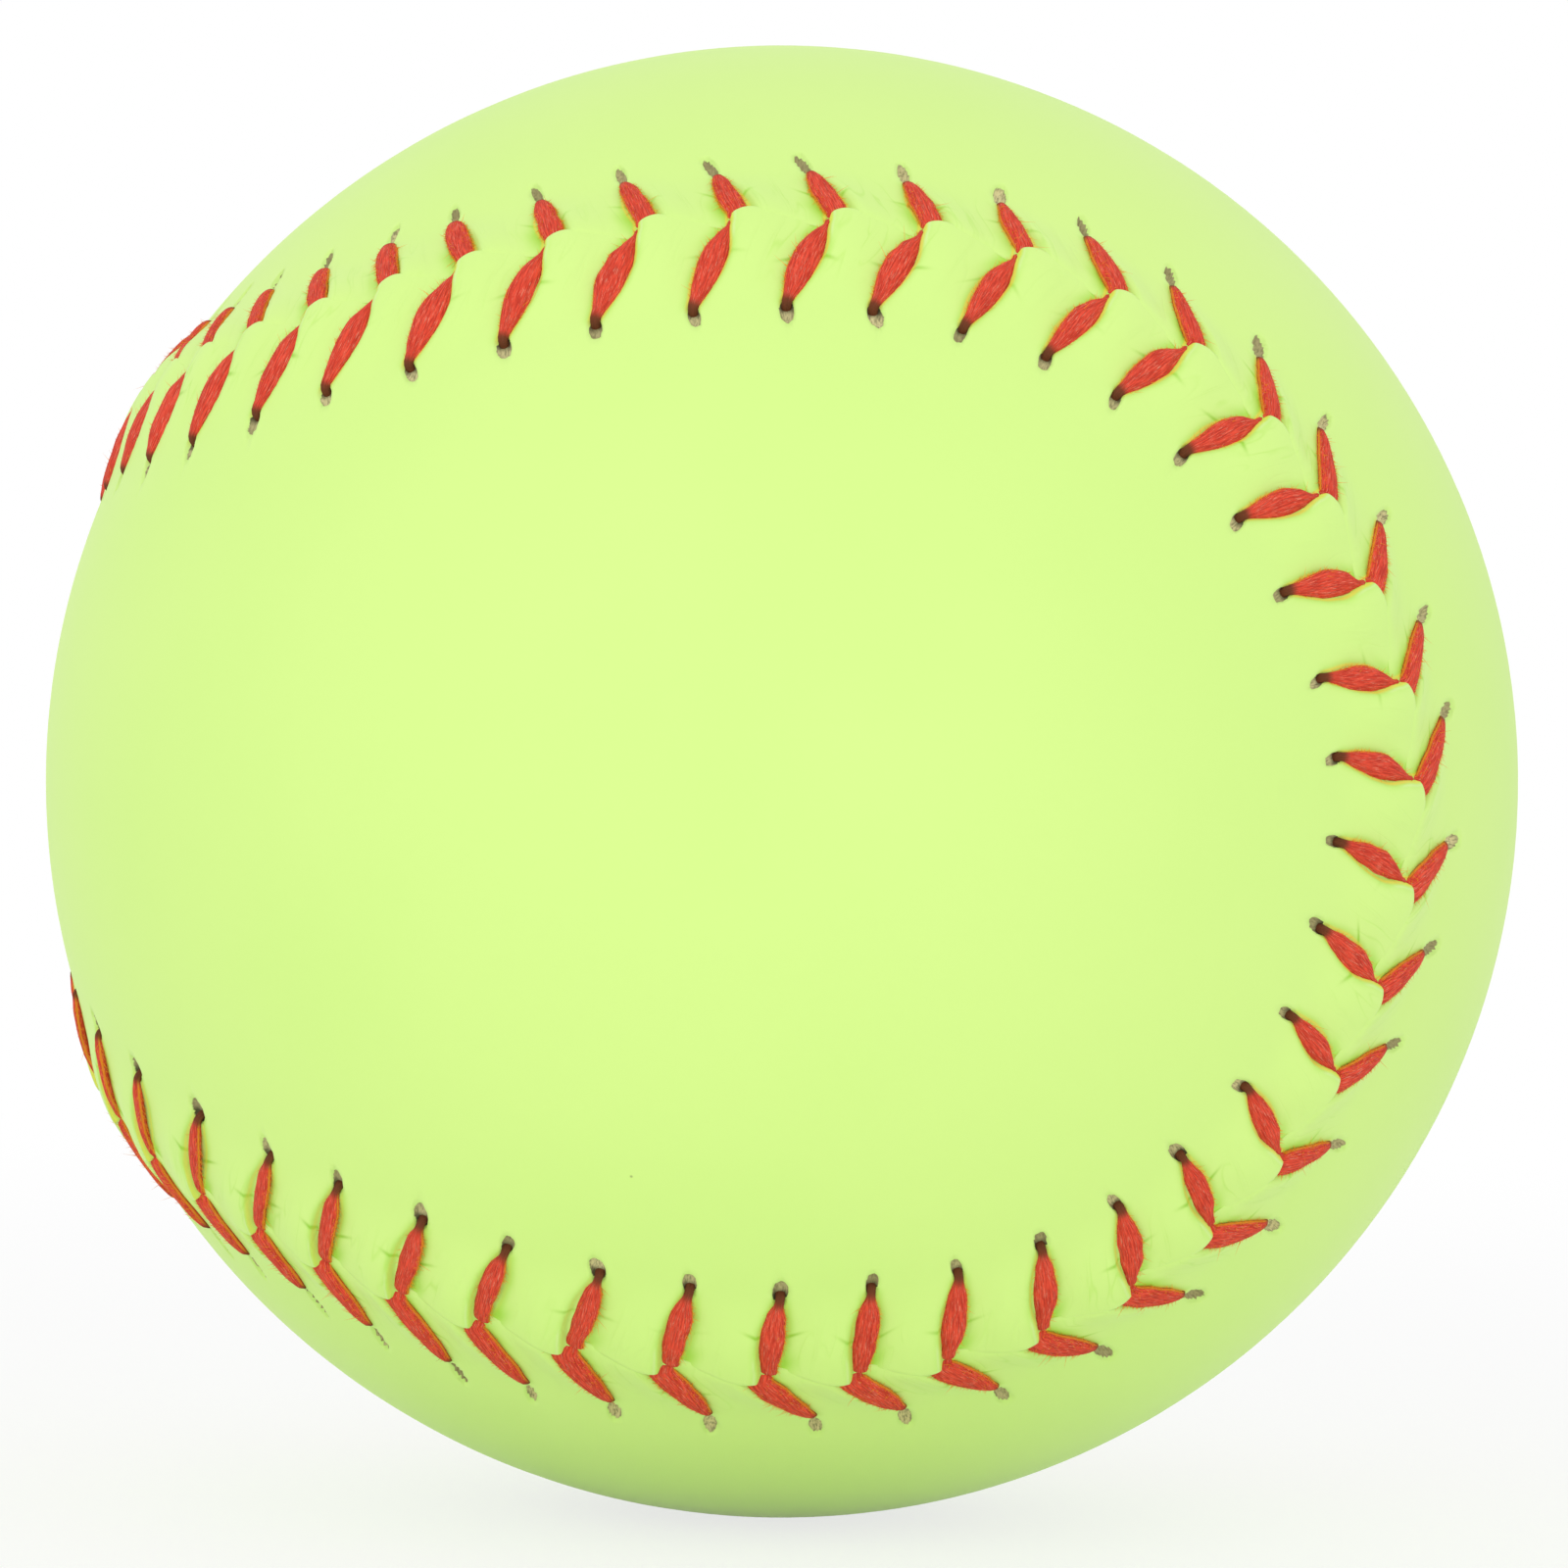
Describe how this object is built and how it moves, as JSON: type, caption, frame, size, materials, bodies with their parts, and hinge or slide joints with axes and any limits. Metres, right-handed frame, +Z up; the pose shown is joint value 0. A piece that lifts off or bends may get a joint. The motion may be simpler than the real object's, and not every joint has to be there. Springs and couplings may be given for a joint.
{
  "type": "softball",
  "caption": "Yellow stitched ball of two figure-eight cover panels, laced together with red thread over a moulded core.",
  "frame": {"origin": "the ball's centre", "axes": "+Z up, through the middle of one cover panel's upper lobe. -Y to the front, through the middle of the other panel's front lobe. +X to the right, along the axis that both panels' waists lie across."},
  "size_m": [0.097, 0.097, 0.097],
  "materials": {
    "core_foam": "closed-cell moulded foam",
    "cover_leather": "smooth satin coat",
    "red_thread": "loosely spun, fuzzy"
  },
  "bodies": {
    "root": {"core": "core_foam", "cover_panel_a": "cover_leather", "cover_panel_b": "cover_leather", "lacing_thread_a": "red_thread", "lacing_thread_b": "red_thread"}
  },
  "joints": []
}
